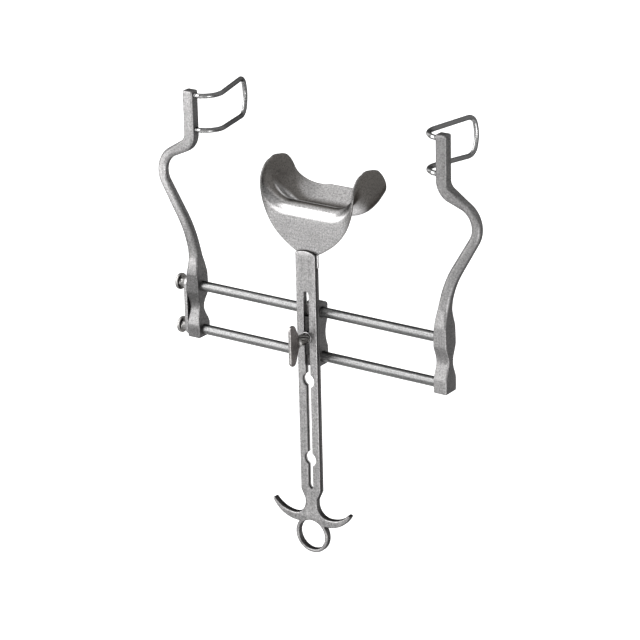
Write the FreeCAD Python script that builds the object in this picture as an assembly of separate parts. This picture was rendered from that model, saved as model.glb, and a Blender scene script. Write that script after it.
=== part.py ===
import FreeCAD, Part
import math
import os

# Self retaining retractor with two sliding guide rods, a fixed arm, a sliding arm,
# two wire side blades and a solid centre blade on a slotted shank.
# Lengths are in millimetres. X runs along the guide rods, Y along the shank with the
# blades at +Y, and Z points up, away from the patient. The origin lies midway between
# the two rods, at the middle of the full opening.

# Frame
full_opening = 180.0
rod_spacing = 30.0
rod_diameter = 6.5
running_clearance = 0.05

# Arm bosses, which carry the rods
boss_width = 9.5
boss_depth = 12.0
boss_end_wall = 5.0
boss_head_length = 8.5
boss_taper_length = 11.0
boss_taper_depth_step = 0.2
boss_taper_width_step = 0.3
neck_depth = 5.4
neck_half_length = 10.0
neck_side_relief = 1.6
boss_edge_chamfer = 0.6

# Arm bars
arm_top = 146.2
arm_top_width = 7.8
arm_top_depth = 7.0
arm_bow_width = 6.6
arm_bow_depth = 5.8
arm_bow_reach = 30.0
arm_shoulder = 111.3
arm_bow_height = 95.6
arm_return_height = 45.0
shoulder_bend_radius = 10.0
bow_bend_radius = 15.5
return_bend_radius = 70.0
arm_top_chamfer = 0.9
arm_bow_chamfer = 1.5
arm_bow_taper = 0.6
arm_foot_width = 7.3
arm_foot_depth = 6.6
arm_foot_overlap = 4.0

# Wire side blades
wire_diameter = 3.2
wire_seat_depth = 4.0
wire_end_margin = 3.1
wire_foot_spacing = 22.6
wire_foot_length = 3.0
wire_reach = 14.5
wire_drop = 1.4
wire_depth = 47.0
wire_tip_reach = 3.5
wire_tip_spacing = 25.0
wire_tip_bow = 3.2
wire_tip_lean = 0.6
wire_bend_radius = 8.0
wire_corner_radius = 6.5
wire_bow_radius = 24.0
wire_step_angle = 18.0
wire_sides = 16

# Rods and what holds their ends
rod_socket_depth = 7.0
rod_pin_diameter = 2.0
rod_pin_offset = 1.0
rod_stud_diameter = 4.5
rod_stud_end_gap = 0.6
arm_park_gap = 0.3
end_plate_thickness = 2.4
end_plate_width = 10.4
knob_neck_diameter = 6.4
knob_neck_length = 4.7
knob_head_diameter = 10.9
knob_head_thickness = 3.0
knob_crown_depth = 0.8
knob_crown_width = 2.2
knob_rim_chamfer = 0.3
knob_bore_depth = 5.6

# Slider that carries the shank
slider_center = -1.5
slider_width = 11.0
slider_end_wall = 6.0
slider_waist = 2.8
slider_waist_half_length = 9.0
slider_end_round = 2.8
slider_edge_chamfer = 0.6

# Keys that guide the shank by its slot
key_width = 4.0
key_height = 3.5
key_seat = 0.8
key_clearance = 0.1
key_top_fillet = 0.3
upper_key_end = 13.6
lower_key_end = 12.1
key_screw_gap = 3.2

# Clamp screw
screw_diameter = 4.0
hub_diameter = 7.0
hub_length = 9.6
hub_chamfer = 0.6
washer_diameter = 8.0
washer_thickness = 0.8
stop_ring_diameter = 7.0
stop_ring_thickness = 1.0
stop_ring_gap = 0.1
screw_lift = 1.2
wing_thickness = 2.0
wing_upper_reach = 12.8
wing_lower_reach = 14.4
wing_ear_radius = 3.3
wing_ear_height = 15.8
wing_ear_root_angle = 27.0
wing_root_height = 8.8
wing_waist_height = 17.6

# Shank with its slot, keyholes, hooks and ring
shank_width = 14.8
shank_thickness = 4.5
shank_top = 56.0
shank_top_arc = 1.6
slot_top = 30.8
slot_bottom = -104.8
keyhole_diameter = 9.6
keyhole_places = (-29.5, -83.8)
shank_shoulder = -105.6
shank_chamfer = 0.5
handle_neck_width = 9.2
handle_neck_top = -112.0
hook_arc_height = -114.6
hook_inner_bottom = -123.6
hook_outer_center = 11.3
hook_outer_height = -107.6
hook_tip_reach = 30.3
hook_tip_width = 2.0
hook_tip_rise = 6.6
hook_tip_slope = 1.1
hook_tip_bulge = 0.5
ring_center = -137.0
ring_bore_radius = 10.0
ring_wall = 2.5
handle_chamfer = 0.9
lap_length = 9.0
lap_back_step = 0.3

# Centre blade
blade_thickness = 1.8
blade_front_length = 22.0
ridge_radius = 8.5
ridge_turn = 125.0
trough_run = 6.0
trough_radius = 17.0
lip_angle = 65.0
lip_length = 14.0
blade_flat_half_width = 15.0
blade_side_radius = 20.0
# Half width of the sheet, measured along its surface, against the distance along its
# middle line from the end of the shank's lap.
blade_outline = ((0.0, 7.4), (2.0, 8.9), (7.0, 17.4), (15.0, 28.8), (24.0, 39.3),
                 (31.0, 47.2), (38.0, 52.2), (46.0, 55.6), (53.0, 56.8), (57.0, 55.2),
                 (61.0, 51.2), (65.0, 43.5), (69.0, 34.5), (73.0, 26.0), (76.0, 19.0),
                 (78.3, 11.0))
# Shares of the half width where the sheet's cross section is drawn, densest on its bends.
blade_shares = (0.0, 0.27, 0.37, 0.46, 0.56, 0.65, 0.75, 0.85, 1.0)
blade_row_length = 7.0
blade_row_turn = 16.0

# Derived places
rod_y = rod_spacing / 2
rod_radius = rod_diameter / 2
bore_radius = rod_radius + running_clearance
half_opening = full_opening / 2
boss_outer = half_opening + boss_width
boss_middle = half_opening + boss_width / 2
boss_bottom = -rod_y - boss_end_wall
rod_pin_x = boss_middle - rod_pin_offset
boss_head_top = rod_y + boss_head_length
shank_back = boss_depth / 2
shank_front = shank_back + shank_thickness
wire_middle = arm_top - wire_end_margin - wire_foot_spacing / 2
arm_inner_top = boss_middle - arm_top_width / 2
plate_inner = -boss_outer - arm_park_gap
plate_outer = plate_inner - end_plate_thickness
knob_under = plate_outer - knob_neck_length
knob_face = knob_under - knob_head_thickness
blade_middle_plane = shank_back + lap_back_step + blade_thickness / 2
lap_face = blade_middle_plane + blade_thickness / 2


def vec(x, y, z=0.0):
    return FreeCAD.Vector(x, y, z)


def bend(before, corner, after, radius):
    """Tangent arc round a corner: its start, end and centre."""
    into = (before - corner).normalize()
    away = (after - corner).normalize()
    half_angle = into.getAngle(away) / 2
    cut = radius / math.tan(half_angle)
    center = corner + (into + away).normalize() * (radius / math.sin(half_angle))
    return corner + into * cut, corner + away * cut, center


def stepped_path(points, radii, step_angle):
    """Path through the points, with each bend made of short straight steps."""
    path = [points[0]]
    for before, corner, after, radius in zip(points, points[1:], points[2:], radii):
        first, last, center = bend(before, corner, after, radius)
        start, end = first - center, last - center
        turn = start.getAngle(end)
        steps = math.ceil(math.degrees(turn) / step_angle)
        square = (end - start * (end.dot(start) / radius ** 2)).normalize() * radius
        for i in range(steps + 1):
            angle = turn * i / steps
            path.append(center + start * math.cos(angle) + square * math.sin(angle))
    return path + [points[-1]]


def cylinder(radius, start, end):
    axis = end - start
    return Part.makeCylinder(radius, axis.Length, start, axis)


def prism(points, offset, direction):
    """Closed polygon of points, moved by offset and drawn out along direction."""
    wire = Part.makePolygon([p + offset for p in points + points[:1]])
    return Part.Face(wire).extrude(direction)


def mirrored(shape):
    return shape.mirror(vec(0, 0, 0), vec(1, 0, 0))


def bar_section(point, direction, size):
    """Rectangle with cut corners across the arm: width in the XY plane, depth along Z."""
    width, depth, chamfer = size
    across = vec(-direction.y, direction.x)
    w, d = width / 2, depth / 2
    corners = [(w, d - chamfer), (w - chamfer, d)]
    corners += [(-a, b) for a, b in reversed(corners)]
    corners += [(-a, -b) for a, b in corners]
    points = [point + across * a + vec(0, 0, b) for a, b in corners]
    return Part.makePolygon(points + points[:1])


def arm_bar():
    """The forged bar of an arm, at +X: a flat top, a shoulder, a bow and a return.

    Each bend keeps its section, and each straight run tapers to the next bend's.
    """
    top_x = arm_inner_top + arm_top_width / 2
    bow_x = top_x + arm_bow_reach
    points = [vec(top_x, arm_top), vec(top_x, arm_shoulder), vec(bow_x, arm_bow_height),
              vec(boss_middle, arm_return_height),
              vec(boss_middle, boss_head_top - arm_foot_overlap)]
    radii = (shoulder_bend_radius, bow_bend_radius, return_bend_radius)
    top = (arm_top_width, arm_top_depth, arm_top_chamfer)
    bow = (arm_bow_width, arm_bow_depth, arm_bow_chamfer)
    below = (arm_bow_width - arm_bow_taper, arm_bow_depth, arm_bow_chamfer)
    foot = (arm_foot_width, arm_foot_depth, arm_bow_chamfer)
    start, size = points[0], top
    runs = []
    for i, (radius, bend_size) in enumerate(zip(radii, (top, bow, below))):
        first, last, center = bend(points[i], points[i + 1], points[i + 2], radius)
        into = (points[i + 1] - points[i]).normalize()
        away = (points[i + 2] - points[i + 1]).normalize()
        runs.append(Part.makeLoft([bar_section(start, into, size),
                                   bar_section(first, into, bend_size)], True, True))
        turn = math.degrees(into.getAngle(away)) * math.copysign(1, into.cross(away).z)
        section = Part.Face(bar_section(first, into, bend_size))
        runs.append(section.revolve(center, vec(0, 0, 1), turn))
        start, size = last, bend_size
    runs.append(Part.makeLoft([bar_section(start, away, size),
                               bar_section(points[-1], away, foot)], True, True))
    return runs[0].multiFuse(runs[1:]).removeSplitter()


def arm_boss(relief):
    """Block at +X that carries both rods, with its neck cut in front and behind."""
    z = boss_depth / 2
    nz = neck_depth / 2
    taper_top = boss_head_top + boss_taper_length
    tz = arm_bow_depth / 2 - boss_taper_depth_step

    def side(sign):
        return [Part.LineSegment(vec(0, boss_bottom, sign * z),
                                 vec(0, -neck_half_length, sign * z)).toShape(),
                Part.Arc(vec(0, -neck_half_length, sign * z), vec(0, 0, sign * nz),
                         vec(0, neck_half_length, sign * z)).toShape(),
                Part.LineSegment(vec(0, neck_half_length, sign * z),
                                 vec(0, boss_head_top, sign * z)).toShape(),
                Part.LineSegment(vec(0, boss_head_top, sign * z),
                                 vec(0, taper_top, sign * tz)).toShape()]
    top = Part.LineSegment(vec(0, taper_top, tz), vec(0, taper_top, -tz)).toShape()
    bottom = Part.LineSegment(vec(0, boss_bottom, -z), vec(0, boss_bottom, z)).toShape()
    outline = Part.Wire(Part.__sortEdges__(side(1) + side(-1) + [top, bottom]))
    block = Part.Face(outline).extrude(vec(boss_width, 0, 0))
    block.translate(vec(half_opening, 0, 0))
    inset = (boss_width - arm_bow_width) / 2 + boss_taper_width_step
    plan = prism([vec(half_opening, boss_bottom), vec(boss_outer, boss_bottom),
                  vec(boss_outer, rod_y), vec(boss_outer - inset, taper_top),
                  vec(half_opening + inset, taper_top), vec(half_opening, rod_y)],
                 vec(0, 0, -z), vec(0, 0, boss_depth))
    block = block.common(plan)
    if relief:
        reach = neck_half_length
        radius = (reach ** 2 + relief ** 2) / (2 * relief)
        block = block.cut(Part.makeCylinder(
            radius, boss_depth, vec(boss_outer + radius - relief, 0, -z)))
    return block.makeChamfer(boss_edge_chamfer, block.Edges)


def wire_holes(arm, inner):
    for sign in (1, -1):
        y = wire_middle + sign * wire_foot_spacing / 2
        hole = cylinder(wire_diameter / 2, vec(inner - 1, y), vec(inner + wire_seat_depth, y))
        arm = arm.cut(hole)
    return arm


def arm(relief):
    return wire_holes(arm_bar().fuse(arm_boss(relief)).removeSplitter(), arm_inner_top)


def fixed_arm():
    shape = arm(0)
    for y in (rod_y, -rod_y):
        socket = cylinder(rod_radius, vec(half_opening - 1, y),
                          vec(half_opening + rod_socket_depth, y))
        pin = cylinder(rod_pin_diameter / 2, vec(rod_pin_x, y, -boss_depth), vec(rod_pin_x, y, 0))
        shape = shape.cut(socket).cut(pin)
    return shape


def sliding_arm():
    shape = arm(neck_side_relief)
    for y in (rod_y, -rod_y):
        shape = shape.cut(cylinder(bore_radius, vec(half_opening - 1, y),
                                   vec(boss_outer + 1, y)))
    return mirrored(shape)


def wire_blade():
    """Bent wire loop at +X: two feet in the arm, two deep strands and a bowed tip."""
    foot = arm_inner_top + wire_seat_depth
    knee = arm_inner_top - wire_reach
    tip = arm_inner_top - wire_tip_reach
    y0, y1 = wire_foot_spacing / 2, wire_tip_spacing / 2
    half = [vec(foot, y0, 0), vec(arm_inner_top - wire_foot_length, y0, 0), vec(knee, y0, -wire_drop),
            vec(tip, y1, -wire_depth)]
    bow = vec(tip + wire_tip_lean, 0, -wire_depth - wire_tip_bow)
    other = [vec(p.x, -p.y, p.z) for p in reversed(half)]
    points = [p + vec(0, wire_middle, 0) for p in half + [bow] + other]
    radii = (wire_bow_radius, wire_bend_radius, wire_corner_radius, wire_bow_radius,
             wire_corner_radius, wire_bend_radius, wire_bow_radius)
    path = Part.makePolygon(stepped_path(points, radii, wire_step_angle))
    turns = [2 * math.pi * i / wire_sides for i in range(wire_sides + 1)]
    section = Part.makePolygon([points[0] + vec(0, math.cos(a), math.sin(a)) * wire_diameter / 2
                                for a in turns])
    right_corner = 1
    return path.makePipeShell([section], True, True, right_corner)


def guide_rod(y):
    end = half_opening + rod_socket_depth
    shape = cylinder(rod_radius, vec(plate_inner, y), vec(end, y))
    stud_end = plate_outer - knob_bore_depth + rod_stud_end_gap
    stud = cylinder(rod_stud_diameter / 2, vec(stud_end, y), vec(plate_inner, y))
    pin = cylinder(rod_pin_diameter / 2, vec(rod_pin_x, y, -boss_depth), vec(rod_pin_x, y, 0))
    return shape.fuse(stud).cut(pin).removeSplitter()


def rod_pin(y):
    return cylinder(rod_pin_diameter / 2, vec(rod_pin_x, y, -boss_depth / 2),
                    vec(rod_pin_x, y, 0))


def rod_end_plate():
    """Flat strip with round ends that ties the two rods together."""
    radius = end_plate_width / 2
    z = radius
    shape = Part.makeBox(end_plate_thickness, rod_spacing, end_plate_width,
                         vec(plate_outer, -rod_y, -z))
    for y in (rod_y, -rod_y):
        shape = shape.fuse(cylinder(radius, vec(plate_outer, y), vec(plate_inner, y)))
    shape = shape.removeSplitter()
    for y in (rod_y, -rod_y):
        hole = cylinder(rod_stud_diameter / 2, vec(plate_outer - 1, y), vec(plate_inner + 1, y))
        shape = shape.cut(hole)
    return shape


def end_knob(y):
    """Mushroom headed nut on the end of a rod, turned from one profile."""
    r, n, b = knob_head_diameter / 2, knob_neck_diameter / 2, rod_stud_diameter / 2
    b = b + running_clearance
    bottom = plate_outer - knob_bore_depth
    rim = knob_face + knob_crown_depth
    flat = r - knob_crown_width
    c = knob_rim_chamfer
    edges = [Part.LineSegment(vec(plate_outer, b), vec(plate_outer, n)).toShape(),
             Part.LineSegment(vec(plate_outer, n), vec(knob_under, n)).toShape(),
             Part.LineSegment(vec(knob_under, n), vec(knob_under, r - c)).toShape(),
             Part.LineSegment(vec(knob_under, r - c), vec(knob_under - c, r)).toShape(),
             Part.LineSegment(vec(knob_under - c, r), vec(rim, r)).toShape(),
             Part.LineSegment(vec(rim, r), vec(knob_face, flat)).toShape(),
             Part.LineSegment(vec(knob_face, flat), vec(knob_face, 0)).toShape(),
             Part.LineSegment(vec(knob_face, 0), vec(bottom, 0)).toShape(),
             Part.LineSegment(vec(bottom, 0), vec(bottom, b)).toShape(),
             Part.LineSegment(vec(bottom, b), vec(plate_outer, b)).toShape()]
    shape = Part.Face(Part.Wire(edges)).revolve(vec(0, 0, 0), vec(1, 0, 0), 360)
    shape.translate(vec(0, y, 0))
    return shape


def slider_body():
    """Block behind the shank that slides on both rods, waisted at its back."""
    z = boss_depth / 2
    end = rod_y + slider_end_wall
    r = slider_end_round
    w = slider_waist_half_length
    points = [vec(0, end, z), vec(0, end, -z + r), vec(0, end - r, -z), vec(0, w, -z)]
    corner = r * (1 - math.sqrt(0.5))
    upper = [Part.LineSegment(points[0], points[1]).toShape(),
             Part.Arc(points[1], vec(0, end - corner, -z + corner), points[2]).toShape(),
             Part.LineSegment(points[2], points[3]).toShape()]
    lower = [edge.mirror(vec(0, 0, 0), vec(0, 1, 0)) for edge in upper]
    waist = Part.Arc(vec(0, w, -z), vec(0, 0, -z + slider_waist), vec(0, -w, -z)).toShape()
    front = Part.LineSegment(vec(0, -end, z), vec(0, end, z)).toShape()
    outline = Part.Wire(Part.__sortEdges__(upper + lower + [waist, front]))
    shape = Part.Face(outline).extrude(vec(slider_width, 0, 0))
    shape.translate(vec(slider_center - slider_width / 2, 0, 0))
    shape = shape.makeChamfer(slider_edge_chamfer, shape.Edges)
    for y in (rod_y, -rod_y):
        shape = shape.cut(cylinder(bore_radius, vec(-half_opening, y), vec(half_opening, y)))
    for start, end in ((key_screw_gap, upper_key_end), (-lower_key_end, -key_screw_gap)):
        groove = Part.makeBox(key_width, end - start, key_seat + 1,
                              vec(slider_center - key_width / 2, start, z - key_seat))
        shape = shape.cut(groove)
    return shape.cut(cylinder(screw_diameter / 2 + running_clearance,
                              vec(slider_center, 0, -boss_depth),
                              vec(slider_center, 0, boss_depth)))


def slot_key(start, end):
    shape = Part.makeBox(key_width, end - start, key_seat + key_height,
                         vec(slider_center - key_width / 2, start, shank_back - key_seat))
    top = [e for e in shape.Edges if min(v.Z for v in e.Vertexes) > shank_back + key_height / 2]
    return shape.makeFillet(key_top_fillet, top)


def shank_blank():
    """Outline of the shank, its neck, both finger hooks and the ring."""
    w = shank_width / 2
    n = handle_neck_width / 2
    knee = n + (hook_arc_height - hook_inner_bottom)
    arc_c = vec(knee, hook_arc_height)
    inner_r = hook_arc_height - hook_inner_bottom
    inner_tip = vec(hook_tip_reach - hook_tip_width, hook_inner_bottom + hook_tip_rise)
    outer_tip = vec(hook_tip_reach, inner_tip.y - hook_tip_slope)
    # the reach arc leaves the bottom level and ends at the inner corner of the tip
    reach_r = ((inner_tip.x - knee) ** 2 + hook_tip_rise ** 2) / (2 * hook_tip_rise)
    reach_c = vec(knee, hook_inner_bottom + reach_r)
    out_c = vec(hook_outer_center, hook_outer_height)
    out_r = (outer_tip - out_c).Length
    root = vec(ring_bore_radius, out_c.y - math.sqrt(out_r ** 2 - (ring_bore_radius - out_c.x) ** 2))

    def on_arc(center, radius, a, b):
        middle = ((a - center) + (b - center)).normalize() * radius + center
        return Part.Arc(a, middle, b).toShape()
    side = [Part.LineSegment(vec(w, shank_top), vec(w, shank_shoulder)).toShape(),
            Part.LineSegment(vec(w, shank_shoulder), vec(n, handle_neck_top)).toShape(),
            Part.LineSegment(vec(n, handle_neck_top), vec(n, hook_arc_height)).toShape(),
            on_arc(arc_c, inner_r, vec(n, hook_arc_height), vec(knee, hook_inner_bottom)),
            on_arc(reach_c, reach_r, vec(knee, hook_inner_bottom), inner_tip),
            Part.Arc(inner_tip,
                     (inner_tip + outer_tip) * 0.5 + vec(hook_tip_bulge, hook_tip_bulge),
                     outer_tip).toShape(),
            on_arc(out_c, out_r, outer_tip, root),
            Part.LineSegment(root, vec(root.x, ring_center)).toShape()]
    other = [edge.mirror(vec(0, 0, 0), vec(1, 0, 0)) for edge in side]
    top = Part.Arc(vec(-w, shank_top), vec(0, shank_top + shank_top_arc),
                   vec(w, shank_top)).toShape()
    base = Part.LineSegment(vec(-root.x, ring_center), vec(root.x, ring_center)).toShape()
    outline = Part.Wire(Part.__sortEdges__(side + other + [top, base]))
    body = Part.Face(outline).extrude(vec(0, 0, shank_thickness))
    ring = Part.makeCylinder(ring_bore_radius + ring_wall, shank_thickness,
                             vec(0, ring_center))
    hole = Part.makeCylinder(ring_bore_radius, shank_thickness, vec(0, ring_center))
    return body.fuse(ring).cut(hole).removeSplitter()


def slotted_shank():
    shape = shank_blank()
    rounded = [e for e in shape.Edges
               if max(v.Y for v in e.Vertexes) < handle_neck_top + 0.1
               and abs(e.BoundBox.ZLength) < 1e-6]
    shape = shape.makeChamfer(handle_chamfer, rounded)
    long_edges = [e for e in shape.Edges
                  if e.BoundBox.YLength > (slot_top - slot_bottom) / 2 and abs(e.BoundBox.ZLength) < 1e-6]
    shape = shape.makeChamfer(shank_chamfer, long_edges)
    slot_r = key_width / 2 + key_clearance
    length = slot_top - slot_bottom - 2 * slot_r
    slot = Part.makeBox(2 * slot_r, length, shank_thickness,
                        vec(-slot_r, slot_bottom + slot_r))
    for y in (slot_bottom + slot_r, slot_top - slot_r):
        slot = slot.fuse(Part.makeCylinder(slot_r, shank_thickness, vec(0, y)))
    for y in keyhole_places:
        slot = slot.fuse(Part.makeCylinder(keyhole_diameter / 2, shank_thickness, vec(0, y)))
    shape = shape.cut(slot)
    lap = Part.makeBox(shank_width, lap_length + shank_top_arc + 1, lap_face - shank_back,
                       vec(-shank_width / 2, shank_top - lap_length, 0))
    shape = shape.cut(lap)
    shape.translate(vec(slider_center, 0, shank_back))
    return shape


def washer():
    base = vec(slider_center, 0, shank_front)
    ring = Part.makeCylinder(washer_diameter / 2, washer_thickness, base)
    return ring.cut(Part.makeCylinder(screw_diameter / 2 + running_clearance,
                                      washer_thickness, base))


def clamp_screw():
    """Threaded stem and hub, with a slot across the hub for the wing."""
    under = shank_front + washer_thickness
    tail = stop_ring_top() - stop_ring_thickness
    stem = cylinder(screw_diameter / 2, vec(slider_center, 0, tail),
                    vec(slider_center, 0, under))
    hub = cylinder(hub_diameter / 2, vec(slider_center, 0, under),
                   vec(slider_center, 0, under + hub_length))
    hub = hub.makeChamfer(hub_chamfer, [hub.Edges[0]])
    slot = Part.makeBox(wing_thickness, hub_diameter + 2, hub_length,
                        vec(slider_center - wing_thickness / 2, -hub_diameter / 2 - 1,
                            under + wing_seat_height()))
    return stem.fuse(hub).cut(slot).removeSplitter()


def wing_seat_height():
    return wing_root_height - washer_thickness


def stop_ring_top():
    """Level at which the lifted ring meets the slider's hollow back, less the gap."""
    w = slider_waist_half_length
    hollow_radius = (w ** 2 + slider_waist ** 2) / (2 * slider_waist)
    rise = hollow_radius - math.sqrt(hollow_radius ** 2 - (stop_ring_diameter / 2) ** 2)
    return -boss_depth / 2 + slider_waist - rise - screw_lift - stop_ring_gap


def screw_stop_ring():
    top = stop_ring_top()
    low = top - stop_ring_thickness
    ring = cylinder(stop_ring_diameter / 2, vec(slider_center, 0, low),
                    vec(slider_center, 0, top))
    return ring.cut(cylinder(screw_diameter / 2, vec(slider_center, 0, low),
                             vec(slider_center, 0, top)))


def wing_grip():
    """Flat paddle with two round ears, standing in the YZ plane."""
    x = slider_center - wing_thickness / 2
    base = shank_front
    r = wing_ear_radius
    ear_z = base + wing_ear_height
    up, down = wing_upper_reach - r, -wing_lower_reach + r
    angle = math.radians(wing_ear_root_angle)
    inward, low = r * math.sin(angle), ear_z - r * math.cos(angle)
    outline = [vec(x, -hub_diameter / 2, base + wing_root_height),
               vec(x, down + inward, low), vec(x, down, ear_z + r),
               vec(x, 0, base + wing_waist_height), vec(x, up, ear_z + r),
               vec(x, up - inward, low),
               vec(x, hub_diameter / 2, base + wing_root_height)]
    shape = prism(outline, vec(0, 0, 0), vec(wing_thickness, 0, 0))
    for y in (up, down):
        shape = shape.fuse(cylinder(r, vec(x, y, ear_z), vec(x + wing_thickness, y, ear_z)))
    return shape.removeSplitter()


def blade_middle_line():
    """Centre section of the blade as runs of (length, turn rate), from its tang."""
    ridge = math.radians(ridge_turn)
    back = math.radians(ridge_turn - lip_angle)
    return ((lap_length + blade_front_length, 0.0),
            (ridge_radius * ridge, 1 / ridge_radius), (trough_run, 0.0),
            (trough_radius * back, -1 / trough_radius), (lip_length, 0.0))


def section_point(distance):
    """Point of the centre section at a distance along it, as y and z."""
    y, z, angle = shank_top - lap_length, blade_middle_plane, 0.0
    for length, rate in blade_middle_line():
        step = min(distance, length)
        if rate:
            turned = angle + rate * step
            y += (math.sin(turned) - math.sin(angle)) / rate
            z += (math.cos(turned) - math.cos(angle)) / rate
            angle = turned
        else:
            y += step * math.cos(angle)
            z -= step * math.sin(angle)
        distance -= step
        if distance <= 0:
            break
    return y, z


def side_point(distance):
    """Point of the cross curve: flat, then an arc that turns up, then straight up."""
    sign = math.copysign(1, distance)
    s = abs(distance)
    flat, r = blade_flat_half_width, blade_side_radius
    quarter = math.pi / 2 * r
    if s <= flat:
        return distance, 0.0
    if s <= flat + quarter:
        a = (s - flat) / r
        return sign * (flat + r * math.sin(a)), r * (1 - math.cos(a))
    return sign * (flat + r), r + s - flat - quarter


def blade_point(u, share):
    y, z = section_point(u)
    x, rise = side_point(share * blade_half_width(u))
    return vec(slider_center + x, y + rise, z)


def blade_half_width(u):
    """Smooth curve through the outline's points."""
    start = lap_length
    if u <= start:
        return shank_width / 2
    return outline_curve.value(u - start)


class SmoothTable:
    """Cubic curve through a table of points, with slopes that never overshoot."""

    def __init__(self, table):
        self.x = [a for a, b in table]
        self.y = [b for a, b in table]
        steps = list(zip(table, table[1:]))
        rise = [(b[1] - a[1]) / (b[0] - a[0]) for a, b in steps]
        slopes = [rise[0]]
        for before, after in zip(rise, rise[1:]):
            same = before * after > 0
            slopes.append(2 * before * after / (before + after) if same else 0.0)
        self.slopes = slopes + [rise[-1]]

    def value(self, at):
        at = min(max(at, self.x[0]), self.x[-1])
        i = max(k for k in range(len(self.x) - 1) if self.x[k] <= at)
        h = self.x[i + 1] - self.x[i]
        t = (at - self.x[i]) / h
        return ((2 * t ** 3 - 3 * t ** 2 + 1) * self.y[i]
                + (t ** 3 - 2 * t ** 2 + t) * h * self.slopes[i]
                + (3 * t ** 2 - 2 * t ** 3) * self.y[i + 1]
                + (t ** 3 - t ** 2) * h * self.slopes[i + 1])


outline_curve = SmoothTable(blade_outline)


def blade_rows():
    """Places along the middle line: ends, bends in equal turns, and along the outline."""
    places = [0.0, lap_length, lap_length + blade_outline[1][0]]
    done = 0.0
    for length, rate in blade_middle_line():
        steps = max(round(length / blade_row_length), 1)
        if rate:
            steps = math.ceil(math.degrees(abs(rate) * length) / blade_row_turn)
        places += [done + length * (i + 1) / steps for i in range(steps)]
        done += length
    return sorted(p for p in set(places) if p <= lap_length / 2 or p >= lap_length)


def blade_normal(u, share, length):
    step_u, step_share = 0.05, 0.002
    along = (blade_point(min(u + step_u, length), share)
             - blade_point(max(u - step_u, 0), share))
    across = (blade_point(u, min(share + step_share, 1))
              - blade_point(u, max(share - step_share, -1)))
    return across.cross(along).normalize()


def center_blade():
    """Dished sheet: two skins half a thickness each side of the middle surface."""
    rows = blade_rows()
    length = rows[-1]
    skins = ([], [])
    shares = [-share for share in reversed(blade_shares[1:])] + list(blade_shares)
    for u in rows:
        sides = ([], [])
        for share in shares:
            offset = blade_normal(u, share, length) * (blade_thickness / 2)
            sides[0].append(blade_point(u, share) + offset)
            sides[1].append(blade_point(u, share) - offset)
        for skin, points in zip(skins, sides):
            skin.append(points)
    front, back = skins
    first, last = [front[0], back[0]], [front[-1], back[-1]]
    left, right = [[[row[end] for row in skin] for skin in skins] for end in (0, -1)]
    faces = []
    for grid in (front, back, first, last, left, right):
        for low, high in zip(grid, grid[1:]):
            for a, b, c, d in zip(low, low[1:], high, high[1:]):
                faces.append(Part.Face(Part.makePolygon([a, b, d, a])))
                faces.append(Part.Face(Part.makePolygon([a, d, c, a])))
    shell = Part.Shell(faces)
    shell.sewShape()
    solid = Part.Solid(shell)
    if solid.Volume < 0:
        solid.reverse()
    return solid


def write(name, shape):
    shape.exportStep(os.path.join("parts", name + ".step"))
    print(name, len(shape.Solids), shape.isValid(), round(shape.Volume, 1))


def main():
    os.makedirs("parts", exist_ok=True)
    loop = wire_blade()
    write("fixed_arm", fixed_arm())
    write("sliding_arm", sliding_arm())
    write("right_wire_blade", loop)
    write("left_wire_blade", mirrored(loop))
    for name, y in (("upper", rod_y), ("lower", -rod_y)):
        write(name + "_guide_rod", guide_rod(y))
        write(name + "_rod_pin", rod_pin(y))
        write(name + "_end_knob", end_knob(y))
    write("rod_end_plate", rod_end_plate())
    write("slider_body", slider_body())
    write("upper_slot_key", slot_key(key_screw_gap, upper_key_end))
    write("lower_slot_key", slot_key(-lower_key_end, -key_screw_gap))
    write("slotted_shank", slotted_shank())
    write("center_blade", center_blade())
    write("swivel_washer", washer())
    write("clamp_screw", clamp_screw())
    write("wing_grip", wing_grip())
    write("screw_stop_ring", screw_stop_ring())


main()
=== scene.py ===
import math
import bmesh
import bpy
import numpy as np
from mathutils import Matrix, Vector
from mathutils.geometry import tessellate_polygon


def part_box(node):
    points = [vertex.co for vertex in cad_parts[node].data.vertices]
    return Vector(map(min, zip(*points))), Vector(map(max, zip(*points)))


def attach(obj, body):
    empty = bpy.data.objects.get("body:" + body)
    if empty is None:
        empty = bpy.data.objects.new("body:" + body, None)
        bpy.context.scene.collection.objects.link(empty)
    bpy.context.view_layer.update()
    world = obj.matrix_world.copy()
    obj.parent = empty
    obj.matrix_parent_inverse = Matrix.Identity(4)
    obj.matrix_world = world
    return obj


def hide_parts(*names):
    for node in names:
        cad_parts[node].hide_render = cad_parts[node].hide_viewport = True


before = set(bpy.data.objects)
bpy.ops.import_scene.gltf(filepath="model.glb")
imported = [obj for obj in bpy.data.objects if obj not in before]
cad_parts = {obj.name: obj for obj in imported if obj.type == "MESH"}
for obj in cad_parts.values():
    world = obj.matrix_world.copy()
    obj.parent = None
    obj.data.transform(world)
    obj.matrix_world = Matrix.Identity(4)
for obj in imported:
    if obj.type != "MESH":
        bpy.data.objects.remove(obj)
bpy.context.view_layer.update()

mm = 0.001
# limits of the painted shade: sides leaning less than the first get the painted shade tone,
# faces leaning more than the second the painted lit tone
faceLean = (0.35, 0.8)      # lean of a normal to Z where a face starts and is fully a face
print("frame loaded with", len(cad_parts), "nodes")


# meshes

def softStep(value, low, high):
    # 0 below low, 1 above high and a smooth cubic step between
    share = np.clip((value - low) / (high - low), 0, 1)
    return share * share * (3 - 2 * share)


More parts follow.
